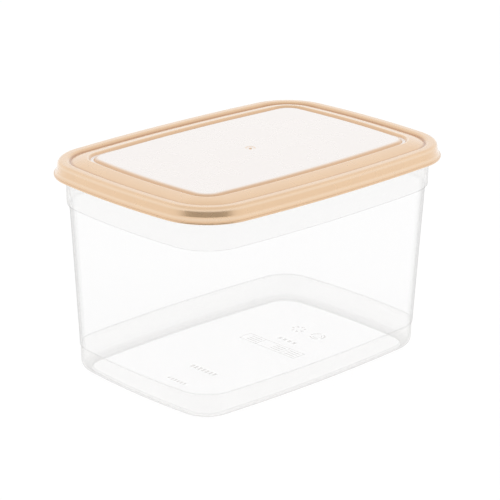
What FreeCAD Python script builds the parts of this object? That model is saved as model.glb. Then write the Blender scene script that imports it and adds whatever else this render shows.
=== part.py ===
import FreeCAD, Part
import math
import os

# A press-on food storage container: a tapered clear tub and its lid.
# Millimetres, +Z up. The origin is the middle of the surface it stands on.
# +X runs along the long side.
#
# Every level of both pieces is the same bowed, round-cornered outline, set
# inward by an inset. A piece is a sheet of even thickness whose section is
# drawn as (inset, height, radius) corners and carried round that outline.

# ---- outline of the whole container, at the lid's lip ----
OVERALL_LENGTH = 203.6
OVERALL_WIDTH = 145.2
CORNER_RADIUS = 32.3
LONG_SIDE_BOW = 2.55       # how far the long sides bulge past the corners
SHORT_SIDE_BOW = 1.8

# ---- tub ----
TUB_WALL = 1.15
RIM_TOP = 121.5            # height of the face that the lid rests on
RIM_TURN_DOWN = 3.9        # height of the rim's turned-down edge
RIM_WIDTH = 3.7            # from the rim's outer face to the wall's inner face
COLLAR_HEIGHT = 23.9       # frosted collar, from the rim's top to its lower edge
COLLAR_DRAFT = 0.4         # inward lean of the collar over its height
COLLAR_EDGE_RADIUS = 0.8
COLLAR_STEP = 1.35         # the collar stands proud of the wall by this
COLLAR_EASE = 8.0          # height over which the inside follows that step
COLLAR_EASE_RADIUS = 12.0
WALL_DRAFT = 4.5           # inward lean of the clear wall over its height
FOOT_TOP = 15.1
FOOT_STEP = 0.45           # the foot band is set in from the wall by this
FOOT_DRAFT = 0.2
FOOT_RADIUS = 6.0          # rounded edge between the foot band and the base
STANDING_RING = 3.2        # flat ring that the tub stands on
BASE_RECESS = 0.6          # the middle of the base is raised by this
BASE_RECESS_RUN = 0.7
SMALL_RADIUS = 0.25
ROUNDED_SHARE = 0.98       # most of a side that its two roundings may take

# ---- lid ----
LID_WALL = 1.1
FIT_GAP = 0.4              # play between the lid and the tub's rim
LIP_WIDTH = 0.55           # flat ledge round the lip
LIP_RADIUS = 0.35
LIP_HEIGHT = 8.45          # from the lip's lower face to the ridge's top
SKIRT_FLARE_INSET = 1.75   # foot of the ridge's outer wall
SKIRT_FLARE_HEIGHT = 2.4   # height of the flared foot above the lip
SKIRT_FLARE_RADIUS = 1.2
SKIRT_LEAN = 0.6           # inward lean of the ridge's outer wall
SHOULDER_RADIUS = 2.4
RIDGE_REACH = 0.3          # the ridge's flat top runs this far past the tub's wall
RIDGE_EDGE_RADIUS = 2.4
CREASE_RUN = 1.35          # width of the ridge's inner side
CREASE_DEPTH = 1.55        # below the ridge's top
CREASE_RADIUS = 0.25
BAND_WIDTH = 9.55          # crowned band between the crease and the groove
BAND_RISE = 2.45
CROWN_PLACE = 0.45         # where the band's crown lies along its width
CROWN_RISE = 0.5           # crown above the band's straight line
CROWN_RADIUS = 24.0
BAND_EDGE_RADIUS = 0.8
GROOVE_DEPTH = 1.6
GROOVE_WALL_RUN = 1.55
GROOVE_FLOOR = 1.6
GROOVE_RADIUS = 0.4
PANEL_HEIGHT = 0.85        # raised panel, above the ridge's top
PANEL_SIDE_RUN = 1.6
PANEL_EDGE_RADIUS = 3.2
SEAL_RIB_DEPTH = 4.0       # rib that reaches down inside the tub's wall
SEAL_RIB_THICKNESS = 1.0
DIMPLE_DIAMETER = 6.2      # shallow moulding dimple in the panel's middle
DIMPLE_DEPTH = 0.45
NUB_DIAMETER = 1.3
NUB_HEIGHT = 0.35
NUB_ROOT = 0.25            # the nub is let into the sheet by this


# ---- the outline that both pieces share ----
def side_radius(half_span, bow):
    """Radius of a side arc that is tangent to both corner arcs."""
    return (half_span ** 2 + bow * (bow + 2 * CORNER_RADIUS)) / (2 * bow)


CORNER_X = OVERALL_LENGTH / 2 - SHORT_SIDE_BOW - CORNER_RADIUS
CORNER_Y = OVERALL_WIDTH / 2 - LONG_SIDE_BOW - CORNER_RADIUS
LONG_RADIUS = side_radius(CORNER_X, LONG_SIDE_BOW)
SHORT_RADIUS = side_radius(CORNER_Y, SHORT_SIDE_BOW)
LONG_HALF_ANGLE = math.asin(CORNER_X / (LONG_RADIUS - CORNER_RADIUS))
SHORT_HALF_ANGLE = math.asin(CORNER_Y / (SHORT_RADIUS - CORNER_RADIUS))


def outline_arcs():
    """The eight arcs of the outline, as (centre x, centre y, radius, start, sweep)."""
    long_centre = LONG_RADIUS - OVERALL_WIDTH / 2
    short_centre = SHORT_RADIUS - OVERALL_LENGTH / 2
    corner_sweep = math.pi / 2 - LONG_HALF_ANGLE - SHORT_HALF_ANGLE
    sides = [
        (-short_centre, 0.0, SHORT_RADIUS, SHORT_HALF_ANGLE),
        (0.0, -long_centre, LONG_RADIUS, LONG_HALF_ANGLE),
        (short_centre, 0.0, SHORT_RADIUS, SHORT_HALF_ANGLE),
        (0.0, long_centre, LONG_RADIUS, LONG_HALF_ANGLE),
    ]
    corners = [
        (CORNER_X, CORNER_Y),
        (-CORNER_X, CORNER_Y),
        (-CORNER_X, -CORNER_Y),
        (CORNER_X, -CORNER_Y),
    ]
    arcs = []
    for quarter, (side, corner) in enumerate(zip(sides, corners)):
        facing = quarter * math.pi / 2
        x, y, radius, half_angle = side
        arcs.append((x, y, radius, facing - half_angle, 2 * half_angle))
        arcs.append((corner[0], corner[1], CORNER_RADIUS, facing + half_angle, corner_sweep))
    return arcs


# ---- sections: corners (inset, height, radius) and the edges they make ----
def direction(start, end):
    length = math.hypot(end[0] - start[0], end[1] - start[1])
    return (end[0] - start[0]) / length, (end[1] - start[1]) / length


def offset_corners(corners, distance):
    """The same path moved to its left by a distance, with mitred corners."""
    moved = []
    for i, (inset, height, radius) in enumerate(corners):
        before = direction(corners[max(i - 1, 0)], corners[max(i, 1)])
        after = direction(corners[min(i, len(corners) - 2)], corners[min(i + 1, len(corners) - 1)])
        share = 1 + before[0] * after[0] + before[1] * after[1]
        step_x = -(before[1] + after[1]) * distance / share
        step_z = (before[0] + after[0]) * distance / share
        turns_left = before[0] * after[1] - before[1] * after[0] > 0
        grown = radius - distance if turns_left else radius + distance
        moved.append((inset + step_x, height + step_z, max(grown, SMALL_RADIUS)))
    return moved


def half_turn_at(before, corner, after):
    inward = direction(before, corner)
    outward = direction(corner, after)
    cosine = inward[0] * outward[0] + inward[1] * outward[1]
    return math.acos(max(-1.0, min(1.0, cosine))) / 2


def corner_reaches(corners, half_turns):
    """How far each rounding runs along its sides; a side too short for both of its own is shared."""
    wanted = [corner[2] * math.tan(half_turn) for corner, half_turn in zip(corners, half_turns)]
    shares = [1.0] * len(corners)
    for i in range(len(corners) - 1):
        side = math.dist(corners[i][:2], corners[i + 1][:2]) * ROUNDED_SHARE
        share = side / max(wanted[i] + wanted[i + 1], side)
        shares[i] = min(shares[i], share)
        shares[i + 1] = min(shares[i + 1], share)
    return [reach * share for reach, share in zip(wanted, shares)]


def rounded_edges(corners):
    """Lines and tangent arcs along the corners, as ("line"|"arc", points)."""
    triples = list(zip(corners, corners[1:], corners[2:]))
    half_turns = [0.0] + [half_turn_at(*triple) for triple in triples] + [0.0]
    reaches = corner_reaches(corners, half_turns)
    edges = []
    place = corners[0][:2]
    for (before, corner, after), half_turn, reach in zip(triples, half_turns[1:], reaches[1:]):
        inward = direction(before, corner)
        outward = direction(corner, after)
        radius = reach / math.tan(half_turn)
        start = (corner[0] - inward[0] * reach, corner[1] - inward[1] * reach)
        end = (corner[0] + outward[0] * reach, corner[1] + outward[1] * reach)
        bisector = direction((0, 0), (outward[0] - inward[0], outward[1] - inward[1]))
        depth = radius / math.cos(half_turn) - radius
        middle = (corner[0] + bisector[0] * depth, corner[1] + bisector[1] * depth)
        edges.append(("line", (place, start)))
        edges.append(("arc", (start, middle, end)))
        place = end
    edges.append(("line", (place, corners[-1][:2])))
    return edges


def height_on(corners, inset):
    """Height of the straight path between corners where it crosses an inset."""
    for start, end in zip(corners, corners[1:]):
        low, high = sorted((start[0], end[0]))
        if low <= inset <= high and high > low:
            share = (inset - start[0]) / (end[0] - start[0])
            return start[1] + share * (end[1] - start[1])
    raise ValueError("the path does not reach this inset")


# ---- solids: a section carried round the outline ----
def swept_faces(edges):
    up = FreeCAD.Vector(0, 0, 1)
    faces = []
    for x, y, radius, start_angle, sweep in outline_arcs():
        centre = FreeCAD.Vector(x, y, 0)
        outward = FreeCAD.Vector(math.cos(start_angle), math.sin(start_angle), 0)
        for kind, points in edges:
            places = [centre + outward * (radius - inset) + up * height for inset, height in points]
            if kind == "line":
                edge = Part.LineSegment(*places).toShape()
            else:
                edge = Part.Arc(*places).toShape()
            faces.append(edge.revolve(centre, up, math.degrees(sweep)))
    return faces


def cap_face(inset, height):
    """The flat face inside the outline, at one inset and height."""
    edges = []
    for x, y, radius, start_angle, sweep in outline_arcs():
        angles = (start_angle, start_angle + sweep / 2, start_angle + sweep)
        places = [
            FreeCAD.Vector(
                x + (radius - inset) * math.cos(angle),
                y + (radius - inset) * math.sin(angle),
                height,
            )
            for angle in angles
        ]
        edges.append(Part.Arc(*places).toShape())
    return Part.Face(Part.Wire(edges))


def sheet_solid(corners):
    """Closed solid from a section that starts and ends on the flat middle."""
    faces = swept_faces(rounded_edges(corners))
    faces.append(cap_face(*corners[0][:2]))
    faces.append(cap_face(*corners[-1][:2]))
    shell = Part.makeShell(faces)
    shell.sewShape()
    solid = Part.Solid(Part.Shell(shell.Faces))
    if solid.Volume < 0:
        solid.reverse()
    return solid


# ---- insets and heights that follow from the values above ----
RIDGE_OUTER_INSET = SKIRT_FLARE_INSET + SKIRT_LEAN
RIM_OUTER_INSET = RIDGE_OUTER_INSET + LID_WALL + FIT_GAP
RIM_INNER_INSET = RIM_OUTER_INSET + RIM_WIDTH
RIM_CORNER_RADIUS = SHOULDER_RADIUS - LID_WALL - FIT_GAP
COLLAR_INSET = RIM_INNER_INSET - TUB_WALL
COLLAR_BOTTOM = RIM_TOP - COLLAR_HEIGHT
COLLAR_BOTTOM_INSET = COLLAR_INSET + COLLAR_DRAFT
WALL_TOP_INSET = COLLAR_BOTTOM_INSET + COLLAR_STEP
WALL_BOTTOM_INSET = WALL_TOP_INSET + WALL_DRAFT
FOOT_TOP_INSET = WALL_BOTTOM_INSET + FOOT_STEP
FOOT_BOTTOM_INSET = FOOT_TOP_INSET + FOOT_DRAFT
RING_INNER_INSET = FOOT_BOTTOM_INSET + FOOT_RADIUS + STANDING_RING
RECESS_INSET = RING_INNER_INSET + BASE_RECESS_RUN
RIDGE_INNER_INSET = RIM_INNER_INSET + RIDGE_REACH
CREASE_INSET = RIDGE_INNER_INSET + CREASE_RUN
RIDGE_TOP = RIM_TOP + LID_WALL
LIP_BOTTOM = RIDGE_TOP - LIP_HEIGHT
LIP_TOP = LIP_BOTTOM + LID_WALL
PANEL_TOP = RIDGE_TOP + PANEL_HEIGHT


# ---- tub ----
def tub_path(bands):
    """The tub's sheet from the middle of its base, by these bands, to the turned-down rim."""
    base = [
        (RECESS_INSET + STANDING_RING, BASE_RECESS, 0),
        (RECESS_INSET, BASE_RECESS, SMALL_RADIUS),
        (RING_INNER_INSET, 0, SMALL_RADIUS),
        (FOOT_BOTTOM_INSET, 0, FOOT_RADIUS),
    ]
    rim_under = RIM_TOP - TUB_WALL
    rim_inside = RIM_OUTER_INSET + TUB_WALL
    rim = [
        (COLLAR_INSET, rim_under, SMALL_RADIUS),
        (rim_inside, rim_under, max(RIM_CORNER_RADIUS - TUB_WALL, SMALL_RADIUS)),
        (rim_inside, RIM_TOP - RIM_TURN_DOWN, SMALL_RADIUS),
    ]
    return base + bands + rim


def build_tub():
    """The bands step outside, while the inside runs smoothly behind them."""
    outside = tub_path([
        (FOOT_TOP_INSET, FOOT_TOP, SMALL_RADIUS),
        (WALL_BOTTOM_INSET, FOOT_TOP, SMALL_RADIUS),
        (WALL_TOP_INSET, COLLAR_BOTTOM, SMALL_RADIUS),
        (COLLAR_BOTTOM_INSET, COLLAR_BOTTOM, COLLAR_EDGE_RADIUS),
    ])
    smooth = tub_path([
        (WALL_TOP_INSET, COLLAR_BOTTOM, COLLAR_EASE_RADIUS),
        (COLLAR_BOTTOM_INSET, COLLAR_BOTTOM + COLLAR_EASE, COLLAR_EASE_RADIUS),
    ])
    inside = offset_corners(smooth, -TUB_WALL)
    return sheet_solid(outside + inside[::-1])


# ---- lid ----
def lid_top():
    """Upper face, from the middle of the panel out to the lip."""
    crease = RIDGE_TOP - CREASE_DEPTH
    band_end = CREASE_INSET + BAND_WIDTH
    band_top = crease + BAND_RISE
    groove_outer = band_end + GROOVE_WALL_RUN
    groove_inner = groove_outer + GROOVE_FLOOR
    groove = band_top - GROOVE_DEPTH
    panel_edge = groove_inner + PANEL_SIDE_RUN
    crown = (
        CREASE_INSET + CROWN_PLACE * BAND_WIDTH,
        crease + CROWN_PLACE * BAND_RISE + CROWN_RISE,
        CROWN_RADIUS,
    )
    return [
        (panel_edge + 2 * PANEL_EDGE_RADIUS, PANEL_TOP, 0),
        (panel_edge, PANEL_TOP, PANEL_EDGE_RADIUS),
        (groove_inner, groove, GROOVE_RADIUS),
        (groove_outer, groove, GROOVE_RADIUS),
        (band_end, band_top, BAND_EDGE_RADIUS),
        crown,
        (CREASE_INSET, crease, CREASE_RADIUS),
        (RIDGE_INNER_INSET, RIDGE_TOP, RIDGE_EDGE_RADIUS),
        (RIDGE_OUTER_INSET, RIDGE_TOP, SHOULDER_RADIUS),
        (SKIRT_FLARE_INSET, LIP_TOP + SKIRT_FLARE_HEIGHT, SKIRT_FLARE_RADIUS),
        (LIP_WIDTH, LIP_TOP, SMALL_RADIUS),
        (0, LIP_TOP, LIP_RADIUS),
    ]


def with_seal_rib(underside):
    """The lid's lower face with a rib that drops just inside the tub's wall."""
    outer = RIM_INNER_INSET + FIT_GAP
    inner = outer + SEAL_RIB_THICKNESS
    tip = RIM_TOP - SEAL_RIB_DEPTH
    rib = [
        (inner, height_on(underside, inner), SMALL_RADIUS),
        (inner, tip, SMALL_RADIUS),
        (outer, tip, SMALL_RADIUS),
        (outer, height_on(underside, outer), SMALL_RADIUS),
    ]
    inside = [corner for corner in underside if corner[0] > inner]
    outside = [corner for corner in underside if corner[0] < outer]
    return inside + rib + outside


def build_lid():
    top = lid_top()
    underside = offset_corners(top, LID_WALL)
    underside[-1] = (0, LIP_BOTTOM, LIP_RADIUS)
    lid = sheet_solid(top + with_seal_rib(underside)[::-1])
    dimple_bottom = PANEL_TOP - DIMPLE_DEPTH
    ball_radius = ((DIMPLE_DIAMETER / 2) ** 2 + DIMPLE_DEPTH ** 2) / (2 * DIMPLE_DEPTH)
    dimple = Part.makeSphere(ball_radius, FreeCAD.Vector(0, 0, dimple_bottom + ball_radius))
    nub_base = FreeCAD.Vector(0, 0, dimple_bottom - NUB_ROOT)
    nub = Part.makeCylinder(NUB_DIAMETER / 2, NUB_HEIGHT + NUB_ROOT, nub_base)
    return lid.cut(dimple).fuse(nub)


def main():
    os.makedirs("parts", exist_ok=True)
    for node, shape in (("tub", build_tub()), ("lid", build_lid())):
        solid = shape.Solids[0]
        print(node, "solids", len(shape.Solids), "valid", solid.isValid(), "volume", round(solid.Volume))
        shape.exportStep(os.path.join("parts", node + ".step"))


main()
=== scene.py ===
import math
from functools import reduce

import bpy
from mathutils import Matrix, Vector


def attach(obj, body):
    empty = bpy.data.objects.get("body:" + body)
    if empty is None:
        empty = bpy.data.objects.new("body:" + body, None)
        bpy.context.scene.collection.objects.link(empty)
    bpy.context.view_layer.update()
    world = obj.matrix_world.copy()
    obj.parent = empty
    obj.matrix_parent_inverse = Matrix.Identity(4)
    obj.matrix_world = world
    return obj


# A press-on food storage container: clear tub, peach lid whose raised panel is pale from a painted
# reflection.
# Metres, +Z up, in the frame of the CAD model.
# A pair named FADE holds the values between which a look comes in or goes out, and a single
# number is half the width of a line.

# ---- camera ----
AIM = Vector((0.000225, -0.000218, 0.063473))
CAMERA_DISTANCE = 1.24108
CAMERA_AZIMUTH = -44.089           # degrees, from -Y towards -X when negative
CAMERA_ELEVATION = 19.470
CAMERA_ROLL = 0.523
SENSOR = 36.0                      # millimetres, as is the next
FOCAL_LENGTH = 158.91

# ---- the lid's outer edge in plan; an inset is a distance inwards from it ----
HALF_LENGTH = 0.1018
HALF_WIDTH = 0.0726
CORNER_RADIUS = 0.0323
LONG_SIDE_BOW = 0.00255
SHORT_SIDE_BOW = 0.0018

# ---- where the lid changes colour, and where shade, highlights and a reflection are painted ----
LID_SIDE_FADE = (0.0030, 0.0036)   # insets, from the lid's side to its top
RIDGE_SLOPE_FADE = (0.0081, 0.0093)
BAND_FOOT_FADE = (0.0091, 0.0110)
BAND_EDGE_FADE = (0.0184, 0.0205)
BAND_RIM_HIGHLIGHT = 0.0186                  # the band's inner edge, where a highlight is painted
BAND_RIM_HIGHLIGHT_FADE = 0.0008
GROOVE_OUTER_FADE = (0.0200, 0.0204)
GROOVE_INNER_FADE = (0.0216, 0.0219)
GROOVE_CORNER_FADE = (0.34, 0.42)  # how diagonal a place is, where the groove's floor carries the painted reflection
PANEL_FADE = (0.0224, 0.0250)
PANEL_WALL_FADE = (0.0226, 0.0240)
NUB_FADE = (0.0006, 0.0012)        # distances from the middle of the lid
DIMPLE_WALL = 0.0026
DIMPLE_WALL_FADE = 0.0007
LIP_TOP = 0.11510                  # heights
LIP_FADE = 0.00045
HIGHLIGHT_HEIGHTS = (0.1166, 0.1211)   # where the lid's side turns, with painted highlights
HIGHLIGHT_FADE = 0.0012

# ---- where the tub changes colour ----
FLOOR_INSIDE = 0.00175             # heights
FOOT_RADIUS = 0.0060
FOOT_TOP = 0.0151
COLLAR_BOTTOM = 0.0976
BASE_SHADE_TOP = 0.0055            # painted shade on the foot's rounded edge, darker from here down
ZONE_BLEND = 0.0003                # half of the step between clear and frosted
SHARE_BLEND = 0.010                # from the foot's density to the collar's, away from both
BAND_LINE = 0.0005                 # half widths of the painted shade lines at the foot band and collar
FLOOR_LINE = 0.0010                # and round the floor,
FLOOR_LINE_RISE = (0.0010, 0.0020) # which fades out this far above the floor
FLOOR_OUTLINE = 0.0198             # insets
FLOOR_FADE = (0.0192, 0.0205)      # where the tub's frosted edge ends
WALL_INSET_LOW = 0.0126            # outside of the clear wall, at the foot
WALL_INSET_HIGH = 0.0082           # and at the collar
FOOT_STEP_IN = 0.0006              # the foot band stands this much inside the wall's line
COLLAR_STEP_OUT = 0.0015           # and the collar this much outside it
WALL_LAYER_FADE = (0.0003, 0.0007) # from the outside of the wall to its inside

# ---- plain marks on the floor inside, millimetres in plan, turns in degrees ----
MARK_LIFT = 0.00005                          # metres
MARK_ROWS = (                                # x, first y, how many, pitch, width, depth
    (28.5, -9.5, 4, 3.8, 2.2, 2.6),
    (-37.5, -12.4, 7, 2.95, 1.9, 3.4),
    (-58.5, -10.6, 6, 2.45, 1.6, 2.4),
)
LABEL_FRAME = (11.5, 20.9, -24.5, 20.2)      # x from, x to, y from, y to
LABEL_LINE = 0.5
LABEL_CELLS = (0.0, 11.0, 30.7)              # where the label's three cells start
CELL_TEXT = (2.0, 1.6)                       # first bar of a cell, from its corner
CELL_TEXT_COUNT = 3
CELL_TEXT_PITCH = 2.3
CELL_TEXT_SIZE = (0.8, 8.0)
DOT_RING = (46.0, 5.4, 3.6)                  # x, y, radius
DOT_COUNT = 7
DOT_TURN = 51.4
DOT_RADIUS = 1.0
DOT_STEPS = 8
BROKEN_RING = (46.0, -10.1, 4.7)             # x, y, radius
ARC_STARTS = (10.0, 130.0, 250.0)
ARC_TURN = 95.0
ARC_STEPS = 24
ARC_LINES = ((0.0, 1.0), (1.9, 0.5))         # inset and width of an arc's two lines

# ---- colours, linear ----
WHITE = (1.0, 1.0, 1.0, 1.0)
PEACH = (0.830, 0.570, 0.350, 1.0)
# painted shade, for the crease, beside the groove and above the lip
PEACH_PAINTED_SHADE = (0.480, 0.230, 0.110, 1.0)
# painted highlight, where the side turns and on the band's rim
PEACH_PAINTED_HIGHLIGHT = (0.950, 0.800, 0.640, 1.0)
# painted reflection, which makes the panel and two corners of the groove pale
PANEL_PAINTED_REFLECTION = (0.905, 0.850, 0.822, 1.0)
CREASE_PAINTED_SHADE = 0.88                # share of the painted shade in each recess
GROOVE_PAINTED_SHADE = 0.30
LIP_PAINTED_SHADE = 0.18
SIDE_HIGHLIGHT_SHARE = 0.35                 # share of the painted highlight on the side, and on the band's rim
RIM_HIGHLIGHT_SHARE = 0.60
DIMPLE_PEACH = 0.75                # how far the dimple's wall goes back to peach, out of the painted reflection
PEARL_METAL = 0.5
LID_ROUGHNESS = (0.26, 0.30)
LID_COAT = 1.0
LID_COAT_ROUGHNESS = 0.12
CLEAR_PALE = (0.860, 0.860, 0.860, 1.0)
# grey of clear faces seen aslant, and of the painted shade lines
CLEAR_GREY = (0.350, 0.350, 0.350, 1.0)
CLEAR_SHARE = 0.018                # how much a clear face hides of what is behind it,
EDGE_SHARE = 0.230                 # how much more the outer face does, seen aslant,
INNER_EDGE_SHARE = 0.060           # and the inner face
EDGE_FADE = (0.45, 0.90)           # how aslant
FACING_BLEND = 0.5
COLLAR_LINE_SHARE = 0.035          # how much more in the painted shade lines at the collar's foot,
FOOT_LINE_SHARE = 0.070            # at the top of the foot band
FLOOR_LINE_SHARE = 0.090           # and round the floor
FROSTED = (0.970, 0.950, 0.905, 1.0)
# grey of frosted faces seen aslant, and of the painted shade at the bottom of the foot
FROSTED_EDGE = (0.700, 0.695, 0.685, 1.0)
FOOT_SHARE = 0.11                  # how much a frosted face hides at the foot,
COLLAR_SHARE = 0.056               # and on the collar
GLOW_SHARE = 0.7                   # how much of the plastic glows with light from behind
TUB_ROUGHNESS = (0.08, 0.35)       # clear, frosted
TUB_IOR = 1.46
MARK_GREY = (0.60, 0.57, 0.52, 1.0)
MARK_SHARE = 0.26
MARK_ROUGHNESS = 0.5

# ---- fine unevenness of the colours ----
NOISE_FADE = (0.3, 0.7)
FINE_DETAIL = 3.0
COARSE_DETAIL = 2.0
LID_NOISE = 60.0                   # noise scales
TUB_NOISE = 500.0
MARK_NOISE = 300.0
MOTTLED = 0.985                    # share of the colour that is left in the darker spots
PANEL_MOTTLED = 0.995
MARK_MOTTLED = 0.9

# ---- studio ----
FLOOR_SIZE = 8.0
FLOOR_COLOUR = (0.88, 0.88, 0.88, 1.0)
FLOOR_SEEN = (0.12, 0.12, 0.12, 1.0)
FLOOR_LIFT = 0.905
SKY_LIGHT = 0.86
CEILING_FADE = (0.70, 0.92)        # how far upwards a direction points
CEILING_GLOSS = 0.35               # where that fade ends, though SKY_LIGHT is the least
CARD_BLACK = (0.02, 0.02, 0.02, 1.0)
CARD_LIFT = 0.002
CARD_NEAR = 0.28
CARD_FAR = 0.85
CARD_HEIGHT = 0.31
CARD_HALF_ANGLE = 58.0             # degrees, either side of the camera
CARD_STEPS = 12
CARD_SIDE_FADE = (0.50, 0.95)      # shares of the half angle
CARD_TOP_FADE = (0.12, 0.30)       # heights
LAMP_SIZE = 1.3
LAMP_ENERGY = 5.0
LAMP_AIM = (0.0, 0.0, 0.06)
LAMPS = (("key", (1.00, -1.05, 1.05)), ("fill", (-1.00, 1.05, 1.05)))


# ---- node helpers ----
def new_material(name):
    material = bpy.data.materials.new(name)
    material.use_nodes = True
    return material, material.node_tree, material.node_tree.nodes["Principled BSDF"]


def add(tree, kind, **values):
    node = tree.nodes.new(kind)
    for name, value in values.items():
        setattr(node, name, value)
    return node


def feed(tree, socket, value):
    """Sets a socket to a number or colour, or links it to another node's output."""
    if isinstance(value, (float, tuple)):
        socket.default_value = value
    else:
        tree.links.new(value, socket)


def math_node(tree, operation, *values):
    node = add(tree, "ShaderNodeMath", operation=operation)
    for socket, value in zip(node.inputs, values):
        feed(tree, socket, value)
    return node.outputs[0]


def product(tree, *values):
    return reduce(lambda first, second: math_node(tree, "MULTIPLY", first, second), values)


def largest(tree, *values):
    return reduce(lambda first, second: math_node(tree, "MAXIMUM", first, second), values)


def total(tree, *values):
    return reduce(lambda first, second: math_node(tree, "ADD", first, second), values)


def minus(tree, first, second):
    return math_node(tree, "SUBTRACT", first, second)


def axes_of(tree, space="Object"):
    """X, Y and Z of the shaded point, in the container's own frame unless told otherwise."""
    place = add(tree, "ShaderNodeTexCoord")
    split = add(tree, "ShaderNodeSeparateXYZ")
    tree.links.new(place.outputs[space], split.inputs[0])
    return split.outputs


def height_of(tree):
    """Height above the surface that the container stands on."""
    return axes_of(tree)["Z"]


def ramp_between(tree, value, low, high, start=0.0, end=1.0, kind="SMOOTHSTEP"):
    """A step of a value: start below low, end above high."""
    node = add(tree, "ShaderNodeMapRange", interpolation_type=kind)
    tree.links.new(value, node.inputs["Value"])
    node.inputs["From Min"].default_value = low
    node.inputs["From Max"].default_value = high
    node.inputs["To Min"].default_value = start
    node.inputs["To Max"].default_value = end
    return node.outputs["Result"]


def line_at(tree, value, middle, half_width):
    """1 in the middle of a thin line, 0 outside it."""
    rising = ramp_between(tree, value, middle - half_width, middle)
    falling = ramp_between(tree, value, middle, middle + half_width, 1.0, 0.0)
    return product(tree, rising, falling)


def noise(tree, scale, detail=COARSE_DETAIL):
    place = add(tree, "ShaderNodeTexCoord")
    node = add(tree, "ShaderNodeTexNoise")
    node.inputs["Scale"].default_value = scale
    node.inputs["Detail"].default_value = detail
    tree.links.new(place.outputs["Object"], node.inputs["Vector"])
    return node.outputs["Fac"]


def darker(colour, share):
    return tuple(channel * share for channel in colour[:3]) + (1.0,)


def mix_colours(tree, factor, first, second):
    node = add(tree, "ShaderNodeMix", data_type="RGBA")
    tree.links.new(factor, node.inputs["Factor"])
    for name, value in (("A", first), ("B", second)):
        feed(tree, [s for s in node.inputs if s.name == name and s.type == "RGBA"][0], value)
    return [s for s in node.outputs if s.type == "RGBA"][0]


def mix_shaders(tree, share, first, second):
    node = add(tree, "ShaderNodeMixShader")
    for socket, value in zip(node.inputs, (share, first, second)):
        feed(tree, socket, value)
    return node.outputs[0]


def show_share(tree, share, surface):
    """Shows a share of the surface, and what is behind it for the rest."""
    gap = add(tree, "ShaderNodeBsdfTransparent")
    mix = mix_shaders(tree, share, gap.outputs[0], surface)
    tree.links.new(mix, tree.nodes["Material Output"].inputs["Surface"])


# ---- places on the container ----
def corner_reach(tree, along, across, half_along, bow, centre_across):
    """How far a point lies past the line of the corners' centres, along one axis.

    The side between them bows outwards, and the sag makes up for the bow.
    """
    share = math_node(tree, "MINIMUM", math_node(tree, "DIVIDE", across, centre_across), 1.0)
    sag = product(tree, share, share, bow)
    return total(tree, minus(tree, along, half_along - CORNER_RADIUS), sag)


def inset_from_edge(tree):
    """Distance inwards from the lid's outer edge, in plan."""
    place = add(tree, "ShaderNodeTexCoord")
    folded = add(tree, "ShaderNodeVectorMath", operation="ABSOLUTE")
    tree.links.new(place.outputs["Object"], folded.inputs[0])
    split = add(tree, "ShaderNodeSeparateXYZ")
    tree.links.new(folded.outputs[0], split.inputs[0])
    x, y = split.outputs["X"], split.outputs["Y"]
    centre_x = HALF_LENGTH - SHORT_SIDE_BOW - CORNER_RADIUS
    centre_y = HALF_WIDTH - LONG_SIDE_BOW - CORNER_RADIUS
    reach_x = corner_reach(tree, x, y, HALF_LENGTH, SHORT_SIDE_BOW, centre_y)
    reach_y = corner_reach(tree, y, x, HALF_WIDTH, LONG_SIDE_BOW, centre_x)
    corner_x = largest(tree, reach_x, 0.0)
    corner_y = largest(tree, reach_y, 0.0)
    squares = total(tree, product(tree, corner_x, corner_x), product(tree, corner_y, corner_y))
    outside = math_node(tree, "SQRT", squares)
    inside = math_node(tree, "MINIMUM", largest(tree, reach_x, reach_y), 0.0)
    return minus(tree, CORNER_RADIUS, total(tree, outside, inside))


def distance_from_middle(tree):
    """Distance in plan from the middle of the container."""
    place = add(tree, "ShaderNodeTexCoord")
    flat = add(tree, "ShaderNodeVectorMath", operation="MULTIPLY")
    flat.inputs[1].default_value = (1.0, 1.0, 0.0)
    tree.links.new(place.outputs["Object"], flat.inputs[0])
    length = add(tree, "ShaderNodeVectorMath", operation="LENGTH")
    tree.links.new(flat.outputs[0], length.inputs[0])
    return length.outputs["Value"]


def diagonal_share(tree):
    """0 at the middle of each side, towards 1 at the two corners that lie on one diagonal."""
    axes = axes_of(tree)
    x = math_node(tree, "DIVIDE", axes["X"], HALF_LENGTH)
    y = math_node(tree, "DIVIDE", axes["Y"], -HALF_WIDTH)
    return product(tree, x, y)


# ---- lid: pearl peach plastic, whose raised panel is pale from a painted reflection ----
def painted_reflection_places(tree, inset):
    """1 where a reflection is painted: on the panel and in two corners of the groove, less on the dimple's
    wall, 0 on its nub.
    """
    panel = ramp_between(tree, inset, *PANEL_FADE)
    groove_in = ramp_between(tree, inset, *GROOVE_OUTER_FADE)
    groove_out = ramp_between(tree, inset, *GROOVE_INNER_FADE, 1.0, 0.0)
    corner = ramp_between(tree, diagonal_share(tree), *GROOVE_CORNER_FADE)
    groove = product(tree, groove_in, groove_out, corner)
    middle = distance_from_middle(tree)
    wall = product(tree, line_at(tree, middle, DIMPLE_WALL, DIMPLE_WALL_FADE), DIMPLE_PEACH)
    beyond_nub = product(tree, ramp_between(tree, middle, *NUB_FADE), minus(tree, 1.0, wall))
    return product(tree, largest(tree, panel, groove), beyond_nub)


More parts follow.
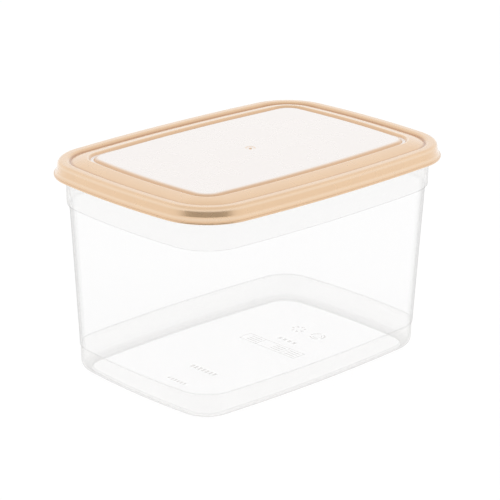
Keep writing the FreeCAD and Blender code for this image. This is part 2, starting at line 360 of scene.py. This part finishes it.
def painted_recess_shade(tree, inset):
    """Painted shade: in the crease, on both sides of the groove and above the lip."""
    slope = ramp_between(tree, inset, *RIDGE_SLOPE_FADE)
    foot = ramp_between(tree, inset, *BAND_FOOT_FADE, 1.0, 0.0)
    crease_shade = product(tree, slope, foot, CREASE_PAINTED_SHADE)
    outer = ramp_between(tree, inset, *BAND_EDGE_FADE)
    inner = ramp_between(tree, inset, *PANEL_WALL_FADE, 1.0, 0.0)
    groove = product(tree, outer, inner, GROOVE_PAINTED_SHADE)
    lip_shade = product(tree, line_at(tree, height_of(tree), LIP_TOP, LIP_FADE), LIP_PAINTED_SHADE)
    return largest(tree, crease_shade, groove, lip_shade)


def painted_highlights(tree, inset):
    """Painted highlights where the lid's side turns, and on the band's inner edge."""
    low, high = (line_at(tree, height_of(tree), level, HIGHLIGHT_FADE) for level in HIGHLIGHT_HEIGHTS)
    on_the_side = ramp_between(tree, inset, *LID_SIDE_FADE, SIDE_HIGHLIGHT_SHARE, 0.0)
    side = product(tree, largest(tree, low, high), on_the_side)
    rim = product(tree, line_at(tree, inset, BAND_RIM_HIGHLIGHT, BAND_RIM_HIGHLIGHT_FADE), RIM_HIGHLIGHT_SHARE)
    return largest(tree, side, rim)


def lid_material():
    """Peach with painted shade in the recesses, painted highlights on the side and the band's rim, and a
    painted reflection on the panel, under a clear coat.
    """
    material, tree, shader = new_material("peach_plastic")
    inset = inset_from_edge(tree)
    mottle = ramp_between(tree, noise(tree, LID_NOISE, FINE_DETAIL), *NOISE_FADE)
    peach = mix_colours(tree, mottle, PEACH, darker(PEACH, MOTTLED))
    # painted shade in the crease, beside the groove and above the lip
    peach = mix_colours(tree, painted_recess_shade(tree, inset), peach, PEACH_PAINTED_SHADE)
    # painted highlights where the side turns and on the band's rim
    peach = mix_colours(tree, painted_highlights(tree, inset), peach, PEACH_PAINTED_HIGHLIGHT)
    # painted reflection on the panel and in two corners of the groove
    panel_reflection = mix_colours(tree, mottle, PANEL_PAINTED_REFLECTION, darker(PANEL_PAINTED_REFLECTION, PANEL_MOTTLED))
    colour = mix_colours(tree, painted_reflection_places(tree, inset), peach, panel_reflection)
    tree.links.new(colour, shader.inputs["Base Color"])
    roughness = ramp_between(tree, noise(tree, LID_NOISE), *NOISE_FADE, *LID_ROUGHNESS)
    tree.links.new(roughness, shader.inputs["Roughness"])
    shader.inputs["Metallic"].default_value = PEARL_METAL
    shader.inputs["Coat Weight"].default_value = LID_COAT
    shader.inputs["Coat Roughness"].default_value = LID_COAT_ROUGHNESS
    return material


# ---- tub: clear plastic, frosted on the collar and the foot band ----
def below_foot_top(tree, height, below=1.0, above=0.0):
    """One value below the top of the foot band, and another above it."""
    return ramp_between(tree, height, FOOT_TOP - ZONE_BLEND, FOOT_TOP + ZONE_BLEND, below, above)


def in_the_collar(tree, height, below=0.0, above=1.0):
    """One value below the collar, and another in it."""
    return ramp_between(
        tree, height, COLLAR_BOTTOM - ZONE_BLEND, COLLAR_BOTTOM + ZONE_BLEND, below, above
    )


def frosted_zones(tree, height, outside):
    """1 on the collar and on the outside of the foot band, 0 where the plastic is clear."""
    foot = product(tree, below_foot_top(tree, height), outside)
    return largest(tree, in_the_collar(tree, height), foot)


def inner_layer(tree, height, inset):
    """0 on the outside of the wall, 1 on its inside."""
    rise = ramp_between(
        tree, height, FOOT_TOP, COLLAR_BOTTOM, WALL_INSET_LOW, WALL_INSET_HIGH, "LINEAR"
    )
    drop = largest(tree, minus(tree, FOOT_RADIUS, height), 0.0)
    squares = minus(tree, FOOT_RADIUS ** 2, product(tree, drop, drop))
    sag = minus(tree, FOOT_RADIUS, math_node(tree, "SQRT", squares))
    step_in = below_foot_top(tree, height, FOOT_STEP_IN, 0.0)
    step_out = in_the_collar(tree, height, 0.0, COLLAR_STEP_OUT)
    outside = minus(tree, total(tree, rise, sag, step_in), step_out)
    return ramp_between(tree, minus(tree, inset, outside), *WALL_LAYER_FADE)


def dark_edges(tree, height, off_the_floor, outside):
    """1 where a face is seen aslant, and where shade is painted towards the bottom of the foot, on its
    outside.
    """
    turned = add(tree, "ShaderNodeLayerWeight")
    turned.inputs["Blend"].default_value = FACING_BLEND
    slanting = ramp_between(tree, turned.outputs["Facing"], *EDGE_FADE)
    # painted shade towards the bottom of the foot
    base_shade = ramp_between(tree, height, 0.0, BASE_SHADE_TOP, 1.0, 0.0)
    return largest(tree, product(tree, slanting, off_the_floor), product(tree, base_shade, outside))


def painted_shade_lines(tree, height, inset):
    """Painted shade lines round the floor, at the collar's foot and at the top of the foot band."""
    rise = (FLOOR_INSIDE + part for part in FLOOR_LINE_RISE)
    near_the_floor = ramp_between(tree, height, *rise, 1.0, 0.0)
    floor = product(tree, line_at(tree, inset, FLOOR_OUTLINE, FLOOR_LINE), near_the_floor)
    collar = line_at(tree, height, COLLAR_BOTTOM - ZONE_BLEND, BAND_LINE)
    foot = line_at(tree, height, FOOT_TOP, BAND_LINE)
    return floor, collar, foot


def tub_colour(tree, edge, frosted, shade_lines):
    """Milky where it is frosted, pale where it is clear, and grey at the edges, in the painted shade at the
    foot's bottom and in the painted shade lines.
    """
    grain = ramp_between(tree, noise(tree, TUB_NOISE, FINE_DETAIL), *NOISE_FADE)
    milk = mix_colours(tree, grain, FROSTED, darker(FROSTED, MOTTLED))
    milk = mix_colours(tree, edge, milk, FROSTED_EDGE)
    clear = mix_colours(tree, edge, CLEAR_PALE, CLEAR_GREY)
    plain = mix_colours(tree, frosted, clear, milk)
    # the painted shade lines, in grey
    return mix_colours(tree, largest(tree, *shade_lines), plain, CLEAR_GREY)


def tub_material():
    """A thin sheet: a face hides a share of what is behind it, and glows with the light there."""
    material, tree, shader = new_material("clear_plastic")
    height = height_of(tree)
    inset = inset_from_edge(tree)
    off_the_floor = ramp_between(tree, inset, *FLOOR_FADE, 1.0, 0.0)
    inner = inner_layer(tree, height, inset)
    outside = product(tree, off_the_floor, minus(tree, 1.0, inner))
    frosted = frosted_zones(tree, height, outside)
    edge = dark_edges(tree, height, off_the_floor, outside)
    # painted shade lines where the plastic steps and round the floor
    shade_lines = painted_shade_lines(tree, height, inset)

    colour = tub_colour(tree, edge, frosted, shade_lines)
    tree.links.new(colour, shader.inputs["Base Color"])
    roughness = ramp_between(tree, frosted, 0.0, 1.0, *TUB_ROUGHNESS)
    tree.links.new(roughness, shader.inputs["Roughness"])
    shader.inputs["IOR"].default_value = TUB_IOR
    glow = add(tree, "ShaderNodeBsdfTranslucent")
    tree.links.new(colour, glow.inputs["Color"])
    sheet = mix_shaders(tree, GLOW_SHARE, shader.outputs[0], glow.outputs[0])

    edge_share = ramp_between(tree, inner, 0.0, 1.0, EDGE_SHARE, INNER_EDGE_SHARE)
    clear_share = total(
        tree, product(tree, off_the_floor, CLEAR_SHARE), product(tree, edge, edge_share)
    )
    milk_share = ramp_between(
        tree, height, FOOT_TOP + SHARE_BLEND, COLLAR_BOTTOM - SHARE_BLEND, FOOT_SHARE, COLLAR_SHARE
    )
    share = largest(tree, clear_share, product(tree, frosted, milk_share))
    # the painted shade lines hide more of what is behind them
    for line, amount in zip(shade_lines, (FLOOR_LINE_SHARE, COLLAR_LINE_SHARE, FOOT_LINE_SHARE)):
        share = total(tree, share, product(tree, line, amount))
    show_share(tree, share, sheet)
    return material


# ---- marks moulded in the floor: plain bars and rings in place of print ----
def bar(x, y, length, width):
    """A flat rectangle from its lowest corner: length along X, width along Y."""
    return [(x, y), (x + length, y), (x + length, y + width), (x, y + width)]


def ring(x, y, radius, width, start=0.0, turn=360.0, steps=ARC_STEPS):
    """A flat arc inside a radius, as a list of four-cornered pieces."""
    pieces = []
    for step in range(steps):
        ends = [math.radians(start + turn * (step + k) / steps) for k in (0, 1)]
        inner, outer = (
            [(x + reach * math.cos(t), y + reach * math.sin(t)) for t in ends]
            for reach in (radius - width, radius)
        )
        pieces.append([inner[0], outer[0], outer[1], inner[1]])
    return pieces


def row_marks():
    pieces = []
    for x, y, count, pitch, width, depth in MARK_ROWS:
        pieces += [bar(x - depth / 2, y + pitch * k, depth, width) for k in range(count)]
    return pieces


def label_marks():
    """A frame in three cells, each with a few bars that stand for lines of text."""
    x0, x1, y0, y1 = LABEL_FRAME
    pieces = [bar(x, y0, LABEL_LINE, y1 - y0) for x in (x0, x1 - LABEL_LINE)]
    starts = [y0 + start for start in LABEL_CELLS]
    pieces += [bar(x0, y, x1 - x0, LABEL_LINE) for y in starts + [y1 - LABEL_LINE]]
    text_x, text_y = CELL_TEXT
    for k in range(CELL_TEXT_COUNT):
        x = x0 + text_x + CELL_TEXT_PITCH * k
        pieces += [bar(x, y + text_y, *CELL_TEXT_SIZE) for y in starts]
    return pieces


def dot_ring_marks():
    x, y, radius = DOT_RING
    pieces = []
    for k in range(DOT_COUNT):
        turn = math.radians(DOT_TURN * k)
        middle = (x + radius * math.cos(turn), y + radius * math.sin(turn))
        pieces += ring(*middle, DOT_RADIUS, DOT_RADIUS, steps=DOT_STEPS)
    return pieces


def broken_ring_marks():
    x, y, radius = BROKEN_RING
    pieces = []
    for start in ARC_STARTS:
        for inset, width in ARC_LINES:
            pieces += ring(x, y, radius - inset, width, start, ARC_TURN)
    return pieces


def floor_marks():
    points, faces = [], []
    for piece in label_marks() + row_marks() + dot_ring_marks() + broken_ring_marks():
        faces.append(tuple(range(len(points), len(points) + 4)))
        points += [(x / 1000.0, y / 1000.0, FLOOR_INSIDE + MARK_LIFT) for x, y in piece]
    mesh = bpy.data.meshes.new("floor_marks")
    mesh.from_pydata(points, [], faces)
    marks = bpy.data.objects.new("floor_marks", mesh)
    bpy.context.scene.collection.objects.link(marks)
    material, tree, shader = new_material("moulded_marks")
    tint = mix_colours(tree, noise(tree, MARK_NOISE), MARK_GREY, darker(MARK_GREY, MARK_MOTTLED))
    tree.links.new(tint, shader.inputs["Base Color"])
    shader.inputs["Roughness"].default_value = MARK_ROUGHNESS
    shader.inputs["Alpha"].default_value = MARK_SHARE
    mesh.materials.append(material)
    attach(marks, "root")


# ---- studio ----
def white_floor():
    """A floor that is white to the camera, in gloss and through clear plastic, and keeps shadows."""
    bpy.ops.mesh.primitive_plane_add(size=FLOOR_SIZE, location=(0.0, 0.0, 0.0))
    floor = bpy.context.object
    floor.name = "studio_floor"
    material, tree, shader = new_material("studio_floor")
    path = add(tree, "ShaderNodeLightPath")
    rays = ("Is Camera Ray", "Is Glossy Ray", "Is Transmission Ray")
    seen = largest(tree, *(path.outputs[ray] for ray in rays))
    tree.links.new(mix_colours(tree, seen, FLOOR_COLOUR, FLOOR_SEEN), shader.inputs["Base Color"])
    shader.inputs["Roughness"].default_value = 1.0
    shader.inputs["Specular IOR Level"].default_value = 0.0
    shader.inputs["Emission Color"].default_value = WHITE
    tree.links.new(product(tree, seen, FLOOR_LIFT), shader.inputs["Emission Strength"])
    floor.data.materials.append(material)


def white_world():
    """A sky that is white to the camera and lights a little less; its top is darker in gloss."""
    world = bpy.data.worlds.new("studio")
    world.use_nodes = True
    bpy.context.scene.world = world
    tree = world.node_tree
    sky = tree.nodes["Background"]
    sky.inputs["Color"].default_value = WHITE
    upwards = axes_of(tree, "Generated")["Z"]
    ceiling = ramp_between(tree, upwards, *CEILING_FADE, 1.0, CEILING_GLOSS)
    path = add(tree, "ShaderNodeLightPath")
    through = largest(tree, path.outputs["Is Camera Ray"], path.outputs["Is Transmission Ray"])
    gloss = product(tree, path.outputs["Is Glossy Ray"], ceiling)
    tree.links.new(largest(tree, through, gloss, SKY_LIGHT), sky.inputs["Strength"])


def soft_light(name, place):
    """A square lamp that no reflection shows."""
    data = bpy.data.lights.new(name, "AREA")
    data.shape = "SQUARE"
    data.size = LAMP_SIZE
    data.energy = LAMP_ENERGY
    lamp = bpy.data.objects.new(name, data)
    bpy.context.scene.collection.objects.link(lamp)
    lamp.location = place
    facing = Vector(LAMP_AIM) - Vector(place)
    lamp.rotation_euler = facing.to_track_quat("-Z", "Y").to_euler()
    lamp.visible_glossy = False


def card_mesh():
    """A curved strip in front: along the floor and then upright, on an arc round the container."""
    folds = ((CARD_NEAR, CARD_LIFT), (CARD_FAR, CARD_LIFT), (CARD_FAR, CARD_HEIGHT))
    row = len(folds)
    points, faces = [], []
    for step in range(CARD_STEPS + 1):
        turn = math.radians(CAMERA_AZIMUTH + CARD_HALF_ANGLE * (2 * step / CARD_STEPS - 1))
        points += [
            (math.sin(turn) * reach, -math.cos(turn) * reach, height) for reach, height in folds
        ]
        if step:
            for corner in range(row * step, row * step + row - 1):
                faces.append((corner - row, corner, corner + 1, corner - row + 1))
    mesh = bpy.data.meshes.new("black_card")
    mesh.from_pydata(points, [], faces)
    return mesh


def card_material():
    """Black, fading out towards the card's sides and its top."""
    material, tree, shader = new_material("black_card")
    shader.inputs["Base Color"].default_value = CARD_BLACK
    axes = axes_of(tree)
    around = math_node(tree, "ARCTAN2", axes["X"], product(tree, axes["Y"], -1.0))
    away = math_node(tree, "ABSOLUTE", minus(tree, around, math.radians(CAMERA_AZIMUTH)))
    fade = (math.radians(CARD_HALF_ANGLE) * share for share in CARD_SIDE_FADE)
    side = ramp_between(tree, away, *fade, 1.0, 0.0)
    top = ramp_between(tree, axes["Z"], *CARD_TOP_FADE, 1.0, 0.0)
    show_share(tree, product(tree, side, top), shader.outputs[0])
    return material


def dark_card():
    """Only glossy reflections show the card: it darkens the lid's near corner."""
    mesh = card_mesh()
    card = bpy.data.objects.new("black_card", mesh)
    bpy.context.scene.collection.objects.link(card)
    mesh.materials.append(card_material())
    card.visible_camera = False
    card.visible_diffuse = False
    card.visible_transmission = False
    card.visible_shadow = False


def add_camera():
    angles = (CAMERA_AZIMUTH, CAMERA_ELEVATION, CAMERA_ROLL)
    azimuth, elevation, roll = (math.radians(angle) for angle in angles)
    back = Vector((
        math.sin(azimuth) * math.cos(elevation),
        -math.cos(azimuth) * math.cos(elevation),
        math.sin(elevation),
    ))
    right = Vector((math.cos(azimuth), math.sin(azimuth), 0.0))
    turn = Matrix((right, back.cross(right), back)).transposed().to_4x4()
    place = Matrix.Translation(AIM + back * CAMERA_DISTANCE)
    camera = bpy.data.objects.new("camera", bpy.data.cameras.new("camera"))
    camera.data.sensor_width = SENSOR
    camera.data.lens = FOCAL_LENGTH
    camera.matrix_world = place @ turn @ Matrix.Rotation(roll, 4, "Z")
    bpy.context.scene.collection.objects.link(camera)
    bpy.context.scene.camera = camera


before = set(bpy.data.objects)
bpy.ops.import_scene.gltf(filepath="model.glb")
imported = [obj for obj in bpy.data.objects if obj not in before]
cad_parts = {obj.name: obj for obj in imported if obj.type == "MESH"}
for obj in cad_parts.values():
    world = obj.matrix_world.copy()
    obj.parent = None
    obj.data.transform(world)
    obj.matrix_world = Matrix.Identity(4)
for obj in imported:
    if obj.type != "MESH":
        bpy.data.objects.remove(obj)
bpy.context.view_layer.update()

for node, material, slot in (("lid", lid_material(), "lid_plastic"), ("tub", tub_material(), "tub_plastic")):
    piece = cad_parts[node]
    piece.data.materials.clear()
    piece.data.materials.append(material)

floor_marks()
white_floor()
white_world()
dark_card()
for name, place in LAMPS:
    soft_light(name, place)
add_camera()
bpy.context.scene.view_settings.view_transform = "Standard"
